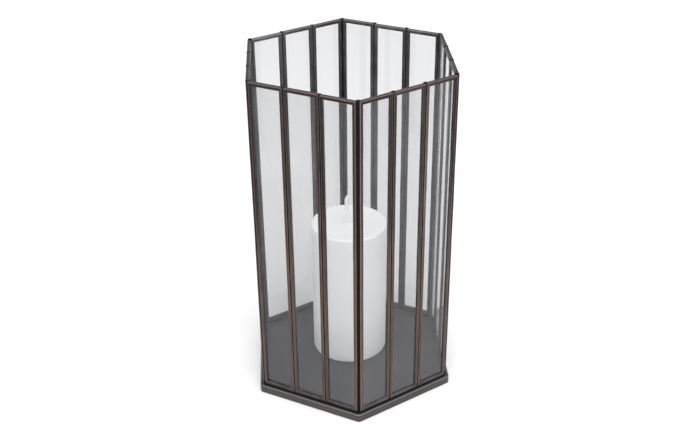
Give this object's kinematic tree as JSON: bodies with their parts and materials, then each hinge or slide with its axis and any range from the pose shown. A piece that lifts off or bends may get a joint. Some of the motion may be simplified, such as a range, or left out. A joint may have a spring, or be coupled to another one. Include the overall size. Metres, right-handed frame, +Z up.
{
  "type": "hexagonal glass candle lantern",
  "caption": "Tall open-topped hexagonal hurricane lantern of metal-framed clear glass panes on a shallow sheet-metal tray, with a loose pillar candle inside.",
  "frame": {"origin": "centre of the tray's resting face, on the lantern's upright axis", "axes": "+Z up along the lantern's upright axis, -Y towards the front corner, +X towards the middle of the right side"},
  "size_m": [0.1984, 0.2278, 0.348],
  "materials": {
    "glass": "clear float glass, polished",
    "channel": "antique copper patina, worn lighter on edges",
    "solder": "black patina over solder, satin",
    "base": "brushed antique bronze finish on folded sheet",
    "wax": "smooth white candle wax",
    "wick": "wax-coated braided cotton"
  },
  "bodies": {
    "lantern": {"glass_right_1": "glass", "glass_right_2": "glass", "glass_right_3": "glass", "glass_rear_right_1": "glass", "glass_rear_right_2": "glass", "glass_rear_right_3": "glass", "glass_rear_left_1": "glass", "glass_rear_left_2": "glass", "glass_rear_left_3": "glass", "glass_left_1": "glass", "glass_left_2": "glass", "glass_left_3": "glass", "glass_front_left_1": "glass", "glass_front_left_2": "glass", "glass_front_left_3": "glass", "glass_front_right_1": "glass", "glass_front_right_2": "glass", "glass_front_right_3": "glass", "channel_right_1": "channel", "channel_right_2": "channel", "channel_right_3": "channel", "channel_rear_right_1": "channel", "channel_rear_right_2": "channel", "channel_rear_right_3": "channel", "channel_rear_left_1": "channel", "channel_rear_left_2": "channel", "channel_rear_left_3": "channel", "channel_left_1": "channel", "channel_left_2": "channel", "channel_left_3": "channel", "channel_front_left_1": "channel", "channel_front_left_2": "channel", "channel_front_left_3": "channel", "channel_front_right_1": "channel", "channel_front_right_2": "channel", "channel_front_right_3": "channel", "seams_right": "solder", "seams_rear_right": "solder", "seams_rear_left": "solder", "seams_left": "solder", "seams_front_left": "solder", "seams_front_right": "solder", "corner_seam_right_rear": "solder", "corner_seam_rear": "solder", "corner_seam_left_rear": "solder", "corner_seam_left_front": "solder", "corner_seam_front": "solder", "corner_seam_right_front": "solder", "foot_seam_right": "solder", "foot_seam_rear_right": "solder", "foot_seam_rear_left": "solder", "foot_seam_left": "solder", "foot_seam_front_left": "solder", "foot_seam_front_right": "solder", "base_tray": "base"},
    "candle": {"candle": "wax", "wick": "wick"}
  },
  "joints": [
    {"name": "candle_lift", "type": "slide", "parent": "lantern", "child": "candle", "axis": [0, 0, 1], "range_m": [0, 0.36]}
  ]
}
